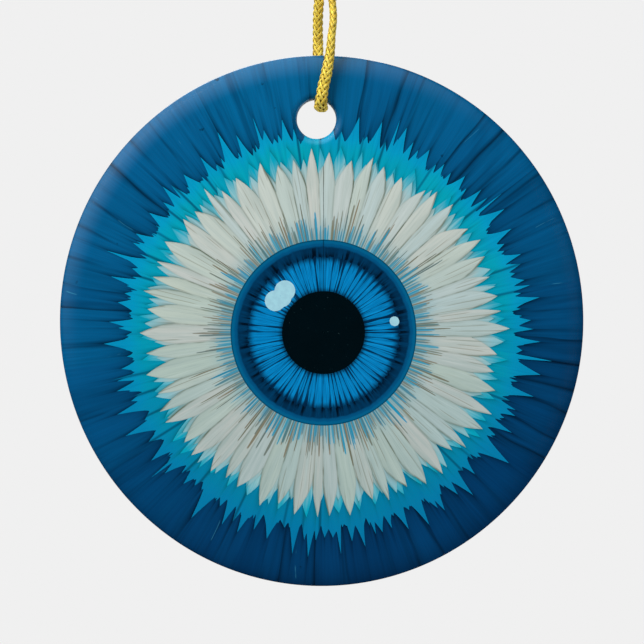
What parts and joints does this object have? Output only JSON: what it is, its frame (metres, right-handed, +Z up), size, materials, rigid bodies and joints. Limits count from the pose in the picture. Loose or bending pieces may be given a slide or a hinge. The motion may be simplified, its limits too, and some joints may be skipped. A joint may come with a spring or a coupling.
{
  "type": "hanging disc ornament",
  "caption": "Round glazed porcelain disc printed with a blue eye ringed by pale petals and cyan spikes, hung by a braided gold cord through a hole near the rim.",
  "frame": {"origin": "the hanging point: midway between the two cord strands just under the knot, where a hook or twig carries the ornament", "axes": "+Z up along the hanging cord, +Y from the printed face to the plain back through the disc's thickness, +X to the right of someone looking at the printed face"},
  "size_m": [0.0733, 0.0069, 0.0945],
  "materials": {
    "white_porcelain": "gloss",
    "print_deep_blue": "gloss",
    "print_cyan": "gloss",
    "print_off_white": "gloss",
    "print_navy": "gloss",
    "print_bright_blue": "gloss",
    "print_near_black": "gloss",
    "print_pale_blue": "gloss",
    "gold_braid": "satin"
  },
  "bodies": {
    "hanger": {"cord_knot": "gold_braid", "cord_tail_front": "gold_braid", "cord_tail_rear": "gold_braid"},
    "upper_cord": {"cord_upper_front": "gold_braid", "cord_upper_rear": "gold_braid"},
    "lower_cord": {"cord_lower": "gold_braid"},
    "disc": {"porcelain_disc": "white_porcelain", "print_ground": "print_deep_blue", "print_star": "print_cyan", "print_petals": "print_off_white", "print_iris_rim": "print_navy", "print_iris": "print_bright_blue", "print_pupil": "print_near_black", "print_glint_large": "print_pale_blue", "print_glint_small": "print_pale_blue"}
  },
  "joints": [
    {"name": "cord_swing", "type": "hinge", "parent": "hanger", "child": "upper_cord", "pos_m": [0, 0, 0], "axis": [1, 0, 0], "range_deg": [-60, 60]},
    {"name": "cord_twist", "type": "hinge", "parent": "upper_cord", "child": "lower_cord", "pos_m": [0, 0, -0.0052], "axis": [0, 0, 1], "range_deg": [-120, 120], "stiffness_Nm_per_rad": 0.00012},
    {"name": "disc_swing", "type": "hinge", "parent": "lower_cord", "child": "disc", "pos_m": [-0.00064, 0, -0.0151], "axis": [0, 1, 0], "range_deg": [-30, 30]}
  ]
}
